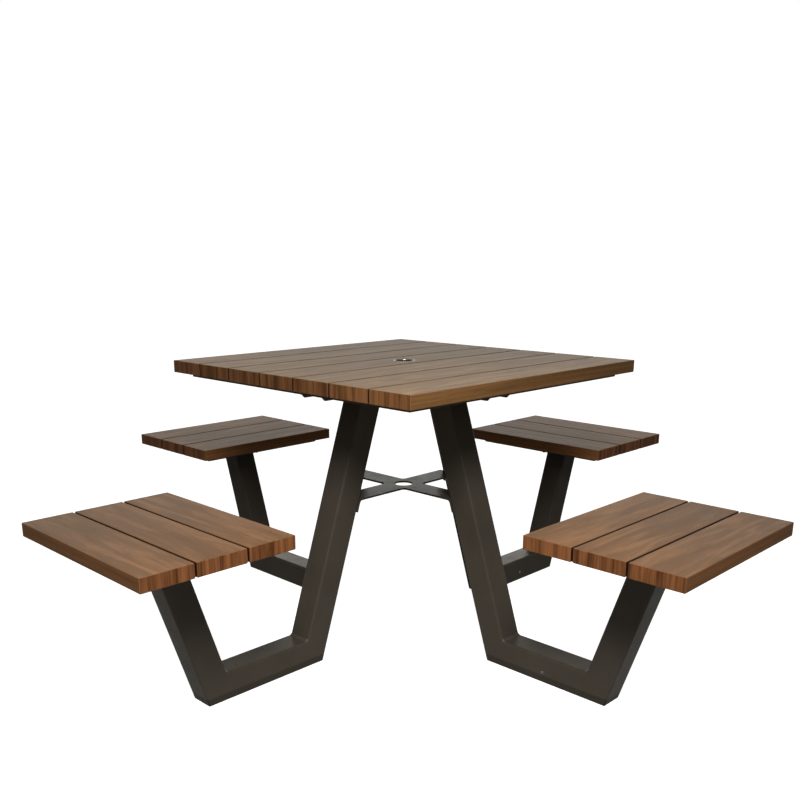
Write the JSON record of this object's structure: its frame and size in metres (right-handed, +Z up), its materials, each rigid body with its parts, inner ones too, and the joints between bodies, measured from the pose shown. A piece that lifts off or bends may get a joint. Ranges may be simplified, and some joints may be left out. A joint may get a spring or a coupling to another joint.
{
  "type": "picnic table",
  "caption": "Square slatted picnic table with a parasol hole and attached slatted seats, each carried by a bent square-tube frame tied together by a cross brace.",
  "frame": {"origin": "on the ground, on the vertical axis of the parasol bores, in the middle of the table", "axes": "+Z up; +X along the boards of the top, towards one seat; +Y towards the next seat anticlockwise"},
  "size_m": [1.92, 1.92, 0.75],
  "materials": {
    "boards": "oiled hardwood look, brown, matt, with lengthwise grain",
    "frame": "dark bronze powder coat, fine texture, satin",
    "ring": "stainless steel, turned, with a bright lip",
    "fasteners": "zinc plated, dull",
    "rivets": "plain, bright"
  },
  "bodies": {
    "root": {"table_board_1": "boards", "table_board_2": "boards", "table_board_3": "boards", "table_board_4": "boards", "table_board_5": "boards", "table_board_6": "boards", "table_board_7": "boards", "umbrella_ring": "ring", "table_rail_right": "frame", "table_rail_back": "frame", "table_rail_left": "frame", "table_rail_front": "frame", "table_bearer_right": "frame", "table_bearer_left": "frame", "table_crossbars": "frame", "seat_board_right_1": "boards", "seat_board_right_2": "boards", "seat_board_right_3": "boards", "seat_board_back_1": "boards", "seat_board_back_2": "boards", "seat_board_back_3": "boards", "seat_board_left_1": "boards", "seat_board_left_2": "boards", "seat_board_left_3": "boards", "seat_board_front_1": "boards", "seat_board_front_2": "boards", "seat_board_front_3": "boards", "seat_frame_right": "frame", "seat_frame_back": "frame", "seat_frame_left": "frame", "seat_frame_front": "frame", "inner_upright_right": "frame", "inner_upright_back": "frame", "inner_upright_left": "frame", "inner_upright_front": "frame", "foot_rail_right": "frame", "foot_rail_back": "frame", "foot_rail_left": "frame", "foot_rail_front": "frame", "outer_upright_right": "frame", "outer_upright_back": "frame", "outer_upright_left": "frame", "outer_upright_front": "frame", "top_plate_right": "frame", "top_plate_back": "frame", "top_plate_left": "frame", "top_plate_front": "frame", "seat_plate_right": "frame", "seat_plate_back": "frame", "seat_plate_left": "frame", "seat_plate_front": "frame", "cross_brace": "frame", "brace_bolts": "fasteners", "brace_inserts": "fasteners", "plate_studs": "fasteners", "plate_washers": "fasteners", "plate_nuts": "fasteners", "table_screws": "fasteners", "seat_screws": "fasteners", "vent_rivets": "rivets"}
  },
  "joints": []
}
